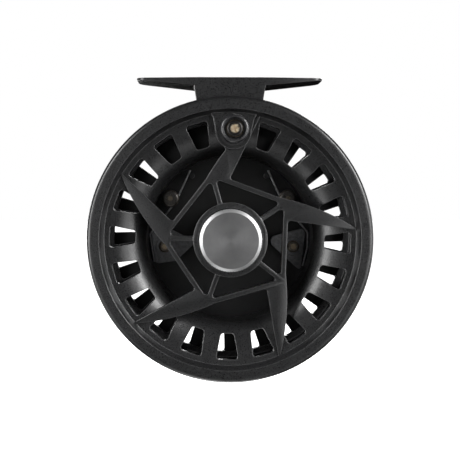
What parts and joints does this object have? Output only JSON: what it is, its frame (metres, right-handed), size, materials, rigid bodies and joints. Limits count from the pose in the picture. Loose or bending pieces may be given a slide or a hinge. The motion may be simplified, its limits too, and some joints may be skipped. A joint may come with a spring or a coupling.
{
  "type": "fly reel",
  "caption": "Click-and-pawl fly reel: ported spool with palming rim and pinwheel face, ported cage frame, foot, spinning handle grip and silver spool knob.",
  "frame": {"origin": "centre of the foot's flat top face, where it beds on the rod's reel seat", "axes": "+Z from the spindle up to the rod, +X along the rod, -Y to the handle side; the spindle runs along Y"},
  "size_m": [0.086, 0.0404, 0.0924],
  "materials": {
    "frame_coat": "black speckled powder coat on a die casting",
    "spool_coat": "black speckled powder coat on a die casting",
    "knob_metal": "turned, satin anodised face, bright knurled edge",
    "steel": "ground stainless",
    "spring_steel": "drawn wire",
    "screw_steel": "zinc plated",
    "bronze": "yellow-chromated, dulled",
    "bearing_bronze": "sintered bronze",
    "ratchet_brass": "stamped, worn teeth",
    "pawl_plate": "dark phosphated plate",
    "grip": "fine matt moulding",
    "washer_nylon": "natural nylon",
    "washer_black": "black acetal"
  },
  "bodies": {
    "frame": {"frame": "frame_coat", "reel_foot": "frame_coat", "foot_screws": "screw_steel", "spindle": "steel", "spindle_washer": "screw_steel", "spindle_nut": "screw_steel", "spindle_collar": "steel", "pawl_posts": "bronze", "pawl_screws": "bronze", "spring_left": "spring_steel", "spring_right": "spring_steel", "spring_screws": "bronze"},
    "spool": {"spool_face": "spool_coat", "spool_pinwheel": "spool_coat", "spool_hub": "spool_coat", "spool_drum": "spool_coat", "ratchet_wheel": "ratchet_brass", "ratchet_screws": "screw_steel", "front_bushing": "bearing_bronze", "rear_bushing": "bearing_bronze", "bushing_clip": "spring_steel", "handle_sleeve": "steel", "handle_screw": "bronze", "handle_washer": "washer_black"},
    "grip": {"handle_grip": "grip"},
    "pawl_left": {"pawl_left": "pawl_plate"},
    "pawl_right": {"pawl_right": "pawl_plate"},
    "knob_carrier": {"knob_washer": "washer_nylon"},
    "knob": {"spool_knob": "knob_metal", "knob_insert": "bearing_bronze"}
  },
  "joints": [
    {"name": "spool_spin", "type": "hinge", "parent": "frame", "child": "spool", "pos_m": [0, -0.0076, -0.0494], "axis": [0, -1, 0], "continuous": true},
    {"name": "grip_spin", "type": "hinge", "parent": "spool", "child": "grip", "pos_m": [0.00091, -0.0236, -0.01691], "axis": [0, -1, 0], "continuous": true},
    {"name": "pawl_left_swing", "type": "hinge", "parent": "frame", "child": "pawl_left", "pos_m": [-0.0203, 0.0026, -0.05225], "axis": [0, -1, 0], "range_deg": [-10, 10], "stiffness_Nm_per_rad": 0.02, "deforming": ["spring_left"]},
    {"name": "pawl_right_swing", "type": "hinge", "parent": "frame", "child": "pawl_right", "pos_m": [0.0203, 0.0026, -0.05225], "axis": [0, -1, 0], "range_deg": [-10, 3], "stiffness_Nm_per_rad": 0.02, "deforming": ["spring_right"]},
    {"name": "knob_lift", "type": "slide", "parent": "frame", "child": "knob_carrier", "axis": [0, -1, 0], "range_m": [0, 0.001]},
    {"name": "knob_turn", "type": "hinge", "parent": "knob_carrier", "child": "knob", "pos_m": [0, -0.0176, -0.0494], "axis": [0, -1, 0], "range_deg": [0, 720]}
  ],
  "couplings": [
    {"joint": "knob_lift", "follows": "knob_turn", "m_per_rad": 0.0000795}
  ]
}
